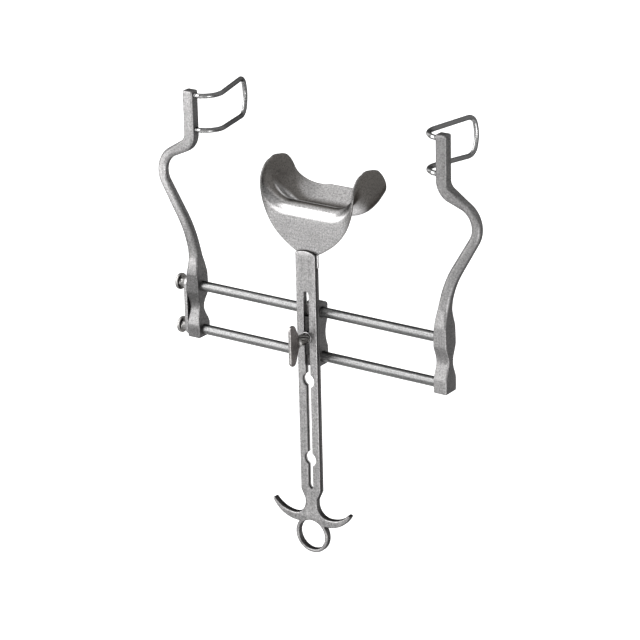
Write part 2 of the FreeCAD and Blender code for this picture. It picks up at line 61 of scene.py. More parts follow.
def markPaintedLight(mesh, paintedLight):
    # painted light of each point, about 0 where a side is painted dark as shade and 1 where a
    # face is painted bright as lit: a smooth step, between two limits, of how far the point's
    # normal leans to Z, or a piece's own rule of painted light and shade on its places and
    # normals, which may run a little past 0 and 1
    place, normal = np.empty((2, len(mesh.vertices), 3))
    mesh.vertices.foreach_get("co", place.ravel())
    mesh.vertices.foreach_get("normal", normal.ravel())
    if callable(paintedLight):
        share = paintedLight(place / mm, normal)
    else:
        share = softStep(np.abs(normal[:, 2]), *paintedLight)
    # the attribute holds the painted light and shade of each point, which the steel reads
    mesh.attributes.new("paintedLight", "FLOAT", "POINT").data.foreach_set("value", share)


def addPiece(name, points, faces, body, material, nodes=(), flatFaces=0,
             paintedLight=faceLean):
    # points in mm in the part's frame; the last flatFaces faces are shaded flat; paintedLight is
    # the rule for the painted shade on the sides and the painted lit tone on the faces
    mesh = bpy.data.meshes.new(name)
    mesh.from_pydata((np.asarray(points) * mm).tolist(), [], faces)
    build = bmesh.new()
    build.from_mesh(mesh)
    bmesh.ops.remove_doubles(build, verts=build.verts, dist=1e-7)
    bmesh.ops.recalc_face_normals(build, faces=build.faces)
    build.to_mesh(mesh)
    build.free()
    smooth = np.ones(len(mesh.polygons), dtype=bool)
    if flatFaces and len(mesh.polygons) == len(faces):
        smooth[-flatFaces:] = False
    mesh.polygons.foreach_set("use_smooth", smooth)
    mesh.materials.append(material)
    markPaintedLight(mesh, paintedLight)
    piece = bpy.data.objects.new(name, mesh)
    bpy.context.scene.collection.objects.link(piece)
    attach(piece, body)
    if nodes:
        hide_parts(*nodes)


def dress(node, material):
    # gives the scene's steel to a CAD mesh that stays visible
    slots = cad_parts[node].data.materials
    slots.clear()
    slots.append(material)


def gridFaces(rows, columns, closed, start=0):
    # quads of a grid of points; closed joins the last column to the first
    r = np.arange(rows - 1)[:, None]
    c = np.arange(columns if closed else columns - 1)[None, :]
    n = (c + 1) % columns
    quads = np.stack([r * columns + c, r * columns + n,
                      (r + 1) * columns + n, (r + 1) * columns + c], axis=-1)
    return (quads.reshape(-1, 4) + start).tolist()


def tube(rings):
    # closed skin through rings of points, with a fan over the first and last ring
    rows, columns = rings.shape[:2]
    ends = np.array([rings[0].mean(0), rings[-1].mean(0)])
    points = np.vstack([rings.reshape(-1, 3), ends])
    faces = gridFaces(rows, columns, True)
    around = np.arange(columns)
    after = (around + 1) % columns
    last = (rows - 1) * columns
    first = np.stack([after, around, np.full(columns, rows * columns)], -1)
    second = np.stack([around + last, after + last, np.full(columns, rows * columns + 1)], -1)
    return points, faces + first.tolist() + second.tolist()


def lathe(profile, turns, center, axis):
    # profile of (radius, height) pairs turned about an axis through center
    profile = np.asarray(profile, float)
    angle = np.linspace(0, 2 * np.pi, turns, endpoint=False)
    radius = profile[:, 0][:, None]
    height = np.repeat(profile[:, 1][:, None], turns, 1)
    a, b = radius * np.cos(angle), radius * np.sin(angle)
    order = {"x": (height, a, b), "z": (a, b, height)}[axis]
    return np.stack(order, -1) + np.asarray(center, float)


def rounded(points, radius, steps=4):
    # polygon of 2D points with each corner replaced by an arc of the given radius
    points = np.asarray(points, float)
    radius = np.broadcast_to(radius, len(points))
    straight = math.radians(89.5)
    out = []
    for i, corner in enumerate(points):
        a = points[i - 1] - corner
        b = points[(i + 1) % len(points)] - corner
        a, b = a / np.hypot(*a), b / np.hypot(*b)
        half = math.acos(np.clip(a @ b, -1, 1)) / 2
        r = radius[i]
        if r <= 0 or half > straight:
            out.append(corner[None])
            continue
        mid = corner + (a + b) / np.hypot(*(a + b)) * r / math.sin(half)
        start, end = corner + a * r / math.tan(half), corner + b * r / math.tan(half)
        t0 = math.atan2(*(start - mid)[::-1])
        sweep = (math.atan2(*(end - mid)[::-1]) - t0 + math.pi) % (2 * math.pi) - math.pi
        t = t0 + sweep * np.linspace(0, 1, steps + 1)
        out.append(mid + r * np.stack([np.cos(t), np.sin(t)], -1))
    return np.vstack(out)


def resample(loop, spacing):
    # the same closed outline with points added so that none is further apart than spacing
    out = []
    for a, b in zip(loop, np.roll(loop, -1, 0)):
        count = max(1, int(math.ceil(np.hypot(*(b - a)) / spacing)))
        out.append(a + (b - a) * np.linspace(0, 1, count, endpoint=False)[:, None])
    return np.vstack(out)


def turnedTo(loop, left):
    # outline made to run with its inside on the left, or on the right for a hole
    x, y = loop[:, 0], loop[:, 1]
    area = np.sum(x * np.roll(y, -1) - np.roll(x, -1) * y)
    return loop if (area > 0) == left else loop[::-1]


def bevelRadii(bevel, loop, index):
    # a bevel is one radius, or a rule that gives each point of a loop its own
    return bevel(loop, index) if callable(bevel) else np.full(len(loop), bevel)


def plate(outer, holes, low, high, bevelLow, bevelHigh, steps=4):
    # solid between two levels over an outline with holes; its edges are quarter rounds,
    # made by moving each outline point along its own inward normal
    loops = [turnedTo(outer, True)] + [turnedTo(h, False) for h in holes]
    quarter = np.linspace(0, np.pi / 2, steps + 1)
    points, faces, caps, start = [], [], ([], []), 0
    for index, loop in enumerate(loops):
        tangent = np.roll(loop, -1, 0) - np.roll(loop, 1, 0)
        inward = np.stack([-tangent[:, 1], tangent[:, 0]], -1)
        inward /= np.linalg.norm(inward, axis=1)[:, None]
        lows = bevelRadii(bevelLow, loop, index)
        highs = bevelRadii(bevelHigh, loop, index)
        rings = []
        for t in quarter:
            flat = loop + inward * (lows * (1 - math.sin(t)))[:, None]
            rings.append(np.column_stack([flat, low + lows * (1 - math.cos(t))]))
        for t in quarter[::-1]:
            flat = loop + inward * (highs * (1 - math.sin(t)))[:, None]
            rings.append(np.column_stack([flat, high - highs * (1 - math.cos(t))]))
        rings = np.array(rings)
        faces += gridFaces(len(rings), len(loop), True, start)
        points.append(rings.reshape(-1, 3))
        caps[0].append((rings[0], start))
        caps[1].append((rings[-1], start + (len(rings) - 1) * len(loop)))
        start += len(points[-1])
    flats = 0
    for cap in caps:
        index = np.concatenate([at + np.arange(len(ring)) for ring, at in cap])
        filled = tessellate_polygon([[Vector(p) for p in ring] for ring, at in cap])
        faces += index[np.array(filled)].tolist()
        flats += len(filled)
    return np.vstack(points), faces, flats


def bentPath(points, radii, spacing, leastRun=2, leastTurn=6):
    # straight runs joined by tangent arcs, sampled evenly; also the length at each bend's
    # ends and the whole length
    points = [np.asarray(p, float) for p in points]
    pieces, marks, start, done = [], [], points[0], 0.0
    for before, corner, after, r in zip(points, points[1:], points[2:], radii):
        a, b = before - corner, after - corner
        a, b = a / np.linalg.norm(a), b / np.linalg.norm(b)
        half = math.acos(np.clip(a @ b, -1, 1)) / 2
        first, last = corner + a * r / math.tan(half), corner + b * r / math.tan(half)
        middle = corner + (a + b) / np.linalg.norm(a + b) * r / math.sin(half)
        run = np.linalg.norm(first - start)
        steps = max(leastRun, int(run / spacing))
        share = np.linspace(0, 1, steps, endpoint=False)[:, None]
        pieces.append(start + (first - start) * share)
        turn = math.pi - 2 * half
        steps = max(leastTurn, int(turn * r / spacing))
        t = turn * np.linspace(0, 1, steps, endpoint=False)[:, None]
        u = (first - middle) / r
        pieces.append(middle + r * (u * np.cos(t) - a * np.sin(t)))
        marks.append((done + run, done + run + turn * r))
        done += run + turn * r
        start = last
    run = np.linalg.norm(points[-1] - start)
    steps = max(leastRun, int(run / spacing))
    pieces.append(start + (points[-1] - start) * np.linspace(0, 1, steps)[:, None])
    return np.vstack(pieces), marks, done + run


# materials

def mathNode(tree, operation, *values):
    # each value is another node's output, which is linked, or a plain number
    node = tree.nodes.new("ShaderNodeMath")
    node.operation = operation
    for socket, value in zip(node.inputs, values):
        if isinstance(value, bpy.types.NodeSocket):
            tree.links.new(value, socket)
        else:
            socket.default_value = value
    return node.outputs["Value"]


def rangeNode(tree, value, before, after):
    # maps a value from one pair of limits to another
    node = tree.nodes.new("ShaderNodeMapRange")
    for limits, title in ((before, "From"), (after, "To")):
        node.inputs[title + " Min"].default_value = limits[0]
        node.inputs[title + " Max"].default_value = limits[1]
    tree.links.new(value, node.inputs["Value"])
    return node.outputs["Result"]


def noiseNode(tree, vector, scale, detail):
    node = tree.nodes.new("ShaderNodeTexNoise")
    node.inputs["Scale"].default_value = scale
    node.inputs["Detail"].default_value = detail
    tree.links.new(vector, node.inputs["Vector"])
    return node.outputs["Fac"]


def rayKind(tree, *kinds):
    # 1 for the kinds of ray that are named, 0 for all others
    path = tree.nodes.new("ShaderNodeLightPath")
    seen = path.outputs[kinds[0]]
    for kind in kinds[1:]:
        seen = mathNode(tree, "MAXIMUM", seen, path.outputs[kind])
    return seen


steelLook = {
    "edgeTint": 0.3,              # dulls the steel where it is seen edge on
    "grainSize": 1000.0,          # grains per metre of the blasted finish
    "grainDetail": 2.0,
    "streakSize": 900.0,          # streaks per metre across them, and along them
    "streakLength": 26.0,
    "streakDetail": 3.0,
    "streakShare": 0.35,          # weight of the streaks beside the grain, which has about 1
    "cloudSize": 60.0,
    "cloudDetail": 2.0,
    "cloudTone": (0.93, 1.05),
    "noiseSpan": (0.3, 0.7),      # where nearly all values of a noise lie
    "toneSpread": 0.42,
    "roughSpread": (0.9, 1.12),
    "bump": 0.35,
    "bumpDepth": 0.00005,
}


def steel(name, tone, roughness, shadedTone, along="Y", grain=1.0):
    # satin stainless steel: fine blasted grain, faint polishing streaks along one axis, and slow
    # cloudy changes of tone, all read from Object coordinates; its colour goes from the painted
    # shade tone of the sides to the lit tone of the faces with the mesh's painted light
    # attribute
    look = steelLook
    material = bpy.data.materials.new(name)
    material.use_nodes = True
    tree = material.node_tree
    nodes, links = tree.nodes, tree.links
    shader = nodes["Principled BSDF"]
    shader.inputs["Metallic"].default_value = 1.0
    shader.inputs["Roughness"].default_value = roughness
    shader.inputs["Specular Tint"].default_value = (look["edgeTint"],) * 3 + (1,)
    place = nodes.new("ShaderNodeTexCoord").outputs["Object"]
    stretch = nodes.new("ShaderNodeMapping")
    scale = [look["streakSize"]] * 3
    scale["XYZ".index(along)] = look["streakLength"]
    stretch.inputs["Scale"].default_value = scale
    links.new(place, stretch.inputs["Vector"])
    streak = noiseNode(tree, stretch.outputs["Vector"], 1.0, look["streakDetail"])
    fine = noiseNode(tree, place, look["grainSize"], look["grainDetail"])
    cloud = noiseNode(tree, place, look["cloudSize"], look["cloudDetail"])
    grained = mathNode(tree, "MULTIPLY", fine, grain)
    mixed = mathNode(tree, "MULTIPLY_ADD", streak, look["streakShare"], grained)
    low, high = look["noiseSpan"]
    weight = look["streakShare"] + grain
    spread = look["toneSpread"] * min(grain, 1)
    texture = rangeNode(tree, mixed, (low * weight, high * weight), (1 - spread, 1 + spread))
    drift = rangeNode(tree, cloud, (low, high), look["cloudTone"])
    # mix of the painted shade tone and the lit tone by the painted light of each point
    tones = nodes.new("ShaderNodeMix")
    tones.data_type = "VECTOR"
    tones.clamp_factor = False
    tones.inputs["A"].default_value = shadedTone
    tones.inputs["B"].default_value = tone
    share = nodes.new("ShaderNodeAttribute")
    share.attribute_name = "paintedLight"
    links.new(share.outputs["Fac"], tones.inputs["Factor"])
    color = nodes.new("ShaderNodeVectorMath")
    color.operation = "SCALE"
    links.new(tones.outputs["Result"], color.inputs[0])
    links.new(mathNode(tree, "MULTIPLY", texture, drift), color.inputs["Scale"])
    links.new(color.outputs["Vector"], shader.inputs["Base Color"])
    smooth, coarse = look["roughSpread"]
    links.new(rangeNode(tree, streak, (low, high), (roughness * smooth, roughness * coarse)),
              shader.inputs["Roughness"])
    bump = nodes.new("ShaderNodeBump")
    bump.inputs["Strength"].default_value = look["bump"] * min(grain, 1)
    bump.inputs["Distance"].default_value = look["bumpDepth"]
    links.new(mixed, bump.inputs["Height"])
    links.new(bump.outputs["Normal"], shader.inputs["Normal"])
    return material


# lit tone, roughness and painted shade tone of the sides for each finish; the tones are set by
# those in the photo
armSteel = steel("forgedSteel", (0.62, 0.61, 0.61), 0.48, (0.10, 0.098, 0.098))
barSteel = steel("satinSteel", (0.60, 0.59, 0.59), 0.42, (0.082, 0.08, 0.08))
bladeSteel = steel("bladeSteel", (0.62, 0.61, 0.61), 0.33, (0.09, 0.085, 0.08), "X", 1.2)
rodSteel = steel("groundSteel", (0.36, 0.36, 0.36), 0.4, (0.05, 0.05, 0.05), "X", 0.9)
wireSteel = steel("wireSteel", (0.62, 0.62, 0.62), 0.26, (0.09, 0.09, 0.09), "Z", 0.15)
turnedSteel = steel("turnedSteel", (0.50, 0.49, 0.48), 0.34, (0.14, 0.135, 0.13), "Z", 0.8)
wingSteel = steel("wingSteel", (0.60, 0.58, 0.57), 0.38, (0.125, 0.115, 0.112), "Z")
print("materials made")


# arms

armShape = {
    "opening": 180.0, "blockWidth": 9.5, "blockDepth": 12.0, "blockFoot": -20.0,
    "top": 146.2, "topWidth": 7.8, "topDepth": 7.0, "shoulder": 111.3,
    "bowReach": 30.0, "bowHeight": 95.6, "returnHeight": 45.0, "bends": (10.0, 15.5, 70.0),
    "bowWidth": 6.6, "bowDepth": 5.8, "footWidth": 7.7, "footDepth": 7.2,
    "waistDepth": 5.4, "waistHalf": 10.0, "headLength": 8.5, "taperLength": 11.0,
    "thinLength": 16.0, "softLength": 6.0, "rodHalf": 15.0, "edgeTop": 1.4, "edgeBow": 2.6,
    "edgeBlock": 0.8, "edgeLeast": 0.15, "topRound": 1.12, "relief": 1.6, "spacing": 0.5,
    "arcPoints": 6, "flatPoints": (0.04, 0.25, 0.5, 0.75, 0.96),
}


def softDip(y, half, depth, power=0.8, spread=1.15):
    # depth of a hollow with soft shoulders: a raised cosine that ends a little past the given
    # half length, flatter in the middle for a lower power
    reach = np.clip(np.abs(y) / (spread * half), 0, 1)
    return depth * (0.5 + 0.5 * np.cos(np.pi * reach)) ** power


def armRings(side, relief):
    # rounded rectangle carried along the arm's middle line from its top to its foot; width,
    # depth and corner radius are functions of the length left to the foot
    a = armShape
    middle = a["opening"] / 2 + a["blockWidth"] / 2
    path, marks, length = bentPath(
        [(middle, a["top"], 0), (middle, a["shoulder"], 0),
         (middle + a["bowReach"], a["bowHeight"], 0), (middle, a["returnHeight"], 0),
         (middle, a["blockFoot"], 0)], a["bends"], a["spacing"])
    step = np.linalg.norm(np.diff(path, axis=0), axis=1)
    done = np.concatenate([[0], np.cumsum(step)])
    left = done[-1] - done
    y = a["blockFoot"] + left
    head = a["rodHalf"] - a["blockFoot"]
    taper = head + a["headLength"] + a["taperLength"]
    bendLeft = [(length - p, length - q) for p, q in marks]
    widthAt = [(0, a["blockWidth"]), (head, a["blockWidth"]), (taper, a["footWidth"]),
               (bendLeft[1][1], a["bowWidth"]), (bendLeft[1][0], a["bowWidth"]),
               (bendLeft[0][1], a["topWidth"]), (length, a["topWidth"])]
    depthAt = [(0, a["blockDepth"]), (head + a["headLength"], a["blockDepth"]),
               (taper, a["footDepth"]),
               (taper + a["thinLength"], (a["footDepth"] + a["bowDepth"]) / 2),
               (bendLeft[1][0], a["bowDepth"]), (bendLeft[0][1], a["topDepth"]),
               (length, a["topDepth"])]
    edgeAt = [(0, a["edgeBlock"]), (head + a["headLength"], a["edgeBlock"]),
              (taper + a["softLength"], a["edgeBow"]), (bendLeft[1][0], a["edgeBow"]),
              (bendLeft[0][1], a["edgeTop"]), (length, a["edgeTop"])]
    width = np.interp(left, *zip(*widthAt)) / 2
    depth = np.interp(left, *zip(*depthAt)) / 2
    edge = np.interp(left, *zip(*edgeAt))
    depth -= softDip(y, a["waistHalf"], (a["blockDepth"] - a["waistDepth"]) / 2)
    outer = width - (softDip(y, a["waistHalf"], relief) if relief else 0)
    tangent = np.gradient(path, axis=0)
    tangent /= np.linalg.norm(tangent, axis=1)[:, None]
    # each end is drawn in over a quarter round
    t = np.linspace(0, np.pi / 2, a["arcPoints"])
    topRound, footRound = a["topRound"], a["edgeBlock"]
    rows = [(0, topRound * (1 - math.cos(q)), topRound * (1 - math.sin(q))) for q in t[:-1]]
    rows += [(i, 0, 0) for i in np.nonzero((done > topRound) & (left > footRound))[0]]
    rows += [(-1, -footRound * (1 - math.cos(q)), footRound * (1 - math.sin(q)))
             for q in t[-2::-1]]
    index = np.array([r[0] for r in rows])
    shift = np.array([r[1] for r in rows])[:, None]
    inset = np.array([r[2] for r in rows])
    center = path[index] + tangent[index] * shift
    across = np.stack([-tangent[index, 1], tangent[index, 0], np.zeros(len(rows))], -1)
    wo, wi, d = outer[index] - inset, width[index] - inset, depth[index] - inset
    e = np.maximum(edge[index] - inset, a["edgeLeast"])
    # section: four corner arcs with flats between them, narrow columns beside the corners
    flats = np.array(a["flatPoints"])
    ring = []
    for sx, sz, quarterTurn in ((1, 1, 0), (-1, 1, 1), (-1, -1, 2), (1, -1, 3)):
        w = wo if sx < 0 else wi
        angle = t + quarterTurn * np.pi / 2
        ring.append(np.stack([(sx * (w - e))[:, None] + e[:, None] * np.cos(angle),
                              (sz * (d - e))[:, None] + e[:, None] * np.sin(angle)], -1))
    parts = []
    for here, after in zip(ring, ring[1:] + ring[:1]):
        parts.append(here)
        run = after[:, :1] - here[:, -1:]
        parts.append(here[:, -1:] + run * flats[None, :, None])
    section = np.concatenate(parts, 1)
    rings = (center[:, None] + across[:, None] * section[:, :, :1]
             + np.array([0, 0, 1.0]) * section[:, :, 1:])
    rings[:, :, 0] *= side
    return rings


# heights against the painted light of each arm's faces, and the lean and depth of the painted
# shade on slopes that face up the arm
armLightTable = {
    "heights": (-20, -14, -9, -2, 10, 24, 31, 45, 62, 92, 108, 122, 146),
    "right": (0.80, 0.80, 0.85, 0.80, 0.76, 0.72, 0.70, 0.64, 0.60, 0.62, 0.54, 0.48, 0.50),
    "left": (0.34, 0.30, 0.80, 0.70, 0.28, 0.34, 0.85, 0.52, 0.90, 1.35, 0.72, 0.88, 1.05),
    "slope": (0.1, 0.4), "slopeShade": 0.35,
}


def paintedArmLight(side):
    # painted light and shade of the faces against height, with more painted shade on slopes that
    # face up the arm; it is set by the tones that the photo shows there, so it stands in for the
    # photo's lighting
    shares = armLightTable["right" if side > 0 else "left"]

    def at(place, normal):
        share = softStep(np.abs(normal[:, 2]), *faceLean)
        slope = 1 - armLightTable["slopeShade"] * softStep(normal[:, 1], *armLightTable["slope"])
        return share * slope * np.interp(place[:, 1], armLightTable["heights"], shares)
    return at


for name, side, body, relief in (("fixed_arm", 1, "frame", 0.0),
                                 ("sliding_arm", -1, "sliding_arm", armShape["relief"])):
    points, faces = tube(armRings(side, relief))
    addPiece(name + "_forging", points, faces, body, armSteel, (name,),
             paintedLight=paintedArmLight(side))
print("arms made")


# wire side blades

wireShape = {
    "diameter": 3.2, "seat": 4.0, "middle": 131.8, "footSpacing": 22.6, "reach": 14.5,
    "drop": 1.4, "depth": 47.0, "tipReach": 3.5, "tipSpacing": 25.0, "bow": 3.2,
    "bowIn": 0.6, "bends": (24.0, 12.0, 6.5, 24.0, 6.5, 12.0, 24.0), "face": 90.85,
    "straight": 3.0, "braze": 0.45, "brazeHalf": 0.8, "spacing": 0.6, "sides": 28,
    # lean gives the limits of the painted shade on the wires' sides and the painted lit tone on
    # their tops
    "lean": (0.3, 0.9),
}


def wireRings(side):
    # circle carried along the bent path without twist; the radius swells at the arm's face
    w = wireShape
    foot, knee, tip = w["face"] + w["seat"], w["face"] - w["reach"], w["face"] - w["tipReach"]
    y0, y1 = w["footSpacing"] / 2, w["tipSpacing"] / 2
    half = [(foot, y0, 0), (w["face"] - w["straight"], y0, 0), (knee, y0, -w["drop"]),
            (tip, y1, -w["depth"])]
    route = half + [(tip + w["bowIn"], 0, -w["depth"] - w["bow"])]
    route += [(x, -y, z) for x, y, z in reversed(half)]
    path = bentPath(route, w["bends"], w["spacing"])[0]
    tangent = np.gradient(path, axis=0)
    tangent /= np.linalg.norm(tangent, axis=1)[:, None]
    normal = np.array([0.0, 0.0, 1.0])
    normals = []
    for t in tangent:
        normal = normal - t * (normal @ t)
        normal /= np.linalg.norm(normal)
        normals.append(normal)
    normals = np.array(normals)
    sideways = np.cross(tangent, normals)
    near = np.clip(1 - np.abs(w["face"] - path[:, 0]) / w["brazeHalf"], 0, 1)
    radius = w["diameter"] / 2 + w["braze"] * near ** 2
    angle = np.linspace(0, 2 * np.pi, w["sides"], endpoint=False)
    rings = path[:, None] + radius[:, None, None] * (
        normals[:, None] * np.cos(angle)[None, :, None]
        + sideways[:, None] * np.sin(angle)[None, :, None])
    rings[:, :, 1] += w["middle"]
    rings[:, :, 0] *= side
    return rings


for name, side, body in (("right_wire_blade", 1, "frame"),
                         ("left_wire_blade", -1, "sliding_arm")):
    points, faces = tube(wireRings(side))
    addPiece(name + "_loop", points, faces, body, wireSteel, (name,),
             paintedLight=wireShape["lean"])
print("wire blades made")


# rods, end plate and knobs

rodShape = {
    "radius": 3.25, "start": -99.8, "end": 97.0, "stud": 2.25, "studEnd": -107.2,
    # lean gives the limits of the rods' painted reflection
    "edge": 0.3, "gap": 0.02, "ringAt": 1.0, "turns": 64, "lean": (0.25, 0.75),
}
plateShape = {
    "width": 10.4, "low": -102.2, "high": -99.8, "edge": 0.35, "spacing": 30.0, "step": 3.0,
}
knobShape = {
    "face": -109.9, "under": -106.9, "seat": -102.2, "radius": 5.45, "neck": 3.2,
    "crownWidth": 1.8, "ribs": 40, "ribPoints": 4, "ribDepth": 0.1, "rimDepth": 0.35,
}


def rodPaintedReflection(place, normal):
    # painted reflection: bright along front and back and dark along the sides, by the angle of
    # each point about the rod's middle line; it stands in for the dark surroundings that the
    # photo's rods mirror along their sides
    axisGap = 0.01
    aside = place[:, 1] - np.sign(place[:, 1]) * plateShape["spacing"] / 2
    lean = np.abs(place[:, 2]) / np.maximum(np.hypot(aside, place[:, 2]), axisGap)
    return softStep(lean, *rodShape["lean"])


def knobRings(y):
    # mushroom nut turned from one profile, from its crown over the rim and the neck to its
    # seat; shallow ribs run over the rim
    k = knobShape
    r = k["radius"]
    profile = [(0.01, k["face"]), (1.2, k["face"]), (2.4, k["face"] + 0.1),
               (r - k["crownWidth"], k["face"] + 0.22),
               (r - 1.2, k["face"] + 0.42), (r - 0.5, k["face"] + 0.7),
               (r - 0.15, k["face"] + 1.0), (r, k["face"] + 1.3), (r, k["face"] + 1.6),
               (r, k["under"] - 0.5), (r - 0.12, k["under"] - 0.2),
               (r - 0.45, k["under"]), (r - 1.0, k["under"] + 0.02),
               (k["neck"] + 0.5, k["under"] + 0.05), (k["neck"] + 0.1, k["under"] + 0.25),
               (k["neck"], k["under"] + 0.6), (k["neck"], k["seat"] - 0.4),
               (k["neck"] - 0.25, k["seat"] - 0.05), (k["neck"] - 0.6, k["seat"]),
               (0.01, k["seat"])]
    turns = k["ribs"] * k["ribPoints"]
    rings = lathe(profile, turns, (0, y, 0), "x")
    angle = np.linspace(0, 2 * np.pi, turns, endpoint=False)
    radius = np.array(profile)[:, 0]
    onRim = np.clip((radius - (r - k["rimDepth"])) / k["rimDepth"], 0, 1)
    rib = 1 - onRim[:, None] * k["ribDepth"] / r * (0.5 + 0.5 * np.cos(k["ribs"] * angle))
    rings[:, :, 1] = y + (rings[:, :, 1] - y) * rib
    rings[:, :, 2] *= rib
    return rings


r = rodShape
e, thick, thin = r["edge"], r["radius"], r["stud"]
# the rings next to both ends keep the smooth shading level along the rod
profile = [(0.01, r["studEnd"]), (thin - e, r["studEnd"]), (thin, r["studEnd"] + e),
           (thin, r["start"] - r["gap"]), (thick - e, r["start"]), (thick, r["start"] + e),
           (thick, r["start"] + r["ringAt"]), (thick, 0), (thick, r["end"] - r["ringAt"]),
           (thick, r["end"] - e), (thick - e, r["end"]), (0.01, r["end"])]
for place, y in (("upper", plateShape["spacing"] / 2), ("lower", -plateShape["spacing"] / 2)):
    points, faces = tube(lathe(profile, r["turns"], (0, y, 0), "x"))
    addPiece(place + "_ground_rod", points, faces, "frame", rodSteel,
             (place + "_guide_rod",), paintedLight=rodPaintedReflection)
    points, faces = tube(knobRings(y))
    addPiece(place + "_thumb_nut", points, faces, place + "_knob", turnedSteel,
             (place + "_end_knob",))
    dress(place + "_rod_pin", rodSteel)


def circle(center, radius, count=48):
    t = np.linspace(0, 2 * np.pi, count, endpoint=False)
    return np.asarray(center, float) + radius * np.stack([np.cos(t), np.sin(t)], -1)


def stadium(y0, y1, radius, count=24):
    # slot outline along the first axis, with round ends
    t = np.linspace(-np.pi / 2, np.pi / 2, count)
    right = np.stack([y1 - radius + radius * np.cos(t), radius * np.sin(t)], -1)
    left = np.stack([y0 + radius - radius * np.cos(t), -radius * np.sin(t)], -1)
    return np.vstack([right, left])


def alongX(points):
    # outline in Y and Z, thickness in X
    return points[:, [2, 0, 1]]


p = plateShape
reach = p["spacing"] / 2 + p["width"] / 2
studs = [circle((side * p["spacing"] / 2, 0), rodShape["stud"]) for side in (1, -1)]
points, faces, flats = plate(resample(stadium(-reach, reach, p["width"] / 2), p["step"]),
                             studs, p["low"], p["high"], p["edge"], p["edge"])
addPiece("end_strap", alongX(points), faces, "frame", barSteel, ("rod_end_plate",),
         flats)
print("rods and knobs made")


# slider with its keys

sliderShape = {
    "center": -1.5, "width": 11.0, "half": 21.0, "depth": 12.0, "waist": 2.8,
    "waistHalf": 9.0, "waistPower": 0.5, "waistPoints": 25, "endRound": 2.8,
    "frontRound": 0.5, "edge": 0.6, "bore": 3.3, "step": 2.0,
}
s = sliderShape
# outline in Y and Z: a block with rounded back corners and a hollow back between the rods
t = np.linspace(s["waistHalf"], -s["waistHalf"], s["waistPoints"])
back = -s["depth"] / 2
waist = np.stack([t, back + softDip(t, s["waistHalf"], s["waist"], s["waistPower"])], -1)
corners = rounded([(-s["half"], back), (-s["half"], -back), (s["half"], -back),
                   (s["half"], back)],
                  [s["endRound"], s["frontRound"], s["frontRound"], s["endRound"]], 8)
bores = [circle((side * plateShape["spacing"] / 2, 0), s["bore"]) for side in (1, -1)]
points, faces, flats = plate(resample(np.vstack([corners, waist]), s["step"]), bores,
                             s["center"] - s["width"] / 2, s["center"] + s["width"] / 2,
                             s["edge"], s["edge"])
addPiece("slider_block", alongX(points), faces, "slider", armSteel,
         ("slider_body",), flats)
for place in ("upper", "lower"):
    dress(place + "_slot_key", barSteel)
print("slider made")


# shank with slot, keyholes, hooks and ring

shankShape = {
    "center": -1.5, "back": 6.0, "front": 10.5, "lapLevel": 8.1, "width": 14.8, "top": 56.0,
    "topArc": 1.6, "lap": 9.0, "slotTop": 30.8, "slotFoot": -104.8, "slotWidth": 4.2,
    "keyhole": 4.8, "keyholes": (-29.5, -83.8), "shoulder": -105.6, "neckWidth": 9.2,
    "neckTop": -112.0, "hookInner": (-114.6, -123.6), "hookReach": 19.7,
    "hookOuter": (11.3, -107.6, 21.7), "hookRoot": 10.4, "tipReach": 30.3, "tipInset": 2.0,
    "tipBulge": 0.55, "ring": -137.0, "ringBore": 10.0, "ringWall": 2.5, "edge": 0.5,
    "handleEdge": 1.0, "holeEdge": 0.14, "blendLength": 6.0, "step": 1.5,
}
# fade is how many mm below a face its side is fully painted dark as shade and still fully
# painted bright, margin is how far beside and above the slot its walls with darker painted shade
# reach, and upward are limits of a lean
slotShade = {
    "fade": (0.4, 0.08), "margin": (0.2, 0.5), "wallShade": 0.15, "upward": (0.2, 0.7),
    "upwardShade": 0.09,
}


def arc(center, radius, start, end, count):
    # points of an arc from one angle to another, in degrees
    t = np.radians(np.linspace(start, end, count))
    return np.asarray(center, float) + radius * np.stack([np.cos(t), np.sin(t)], -1)


def shankOutline():
    # right half from the top to the ring's foot, then its mirror image
    h = shankShape
    w, n = h["width"] / 2, h["neckWidth"] / 2
    high, low = h["hookInner"]
    r = high - low
    knee = n + r
    inner = arc((knee, high), r, 180, 270, 14)
    reachY = low + h["hookReach"]
    tipIn = h["tipReach"] - h["tipInset"]
    innerEnd = -math.degrees(math.acos((tipIn - knee) / h["hookReach"]))
    reach = arc((knee, reachY), h["hookReach"], -90, innerEnd, 14)[1:]
    ox, oy, outR = h["hookOuter"]
    outerTip = -math.degrees(math.acos((h["tipReach"] - ox) / outR))
    ringOut = h["ringBore"] + h["ringWall"]
    rootEnd = -math.degrees(math.acos((h["hookRoot"] - ox) / outR))
    outer = arc((ox, oy), outR, outerTip, rootEnd, 20)
    a, b = reach[-1], outer[0]
    cap = (a + b) / 2
    bulge = np.array([(b - a)[1], -(b - a)[0]])
    bulge = bulge / np.hypot(*bulge)
    tt = np.linspace(0, np.pi, 9)[1:-1]
    size = np.hypot(*(b - a)) / 2
    along = (a - b) / (2 * size)
    tip = cap + size * (along * np.cos(tt)[:, None]
                        - bulge * h["tipBulge"] * np.sin(tt)[:, None])
    startAngle = math.degrees(math.asin(np.clip((outer[-1][1] - h["ring"]) / ringOut, -1, 1)))
    ring = arc((0, h["ring"]), ringOut, startAngle, -90, 30)
    topT = np.linspace(0, 1, 8)
    top = np.stack([w * topT, h["top"] + h["topArc"] * (1 - topT ** 2)], -1)
    side = [top, [(w, h["shoulder"])], [(n, h["neckTop"])], inner, reach, tip, outer, ring]
    right = np.vstack([np.asarray(part, float) for part in side])
    left = right[::-1] * (-1, 1)
    return np.vstack([right, left[1:-1]])


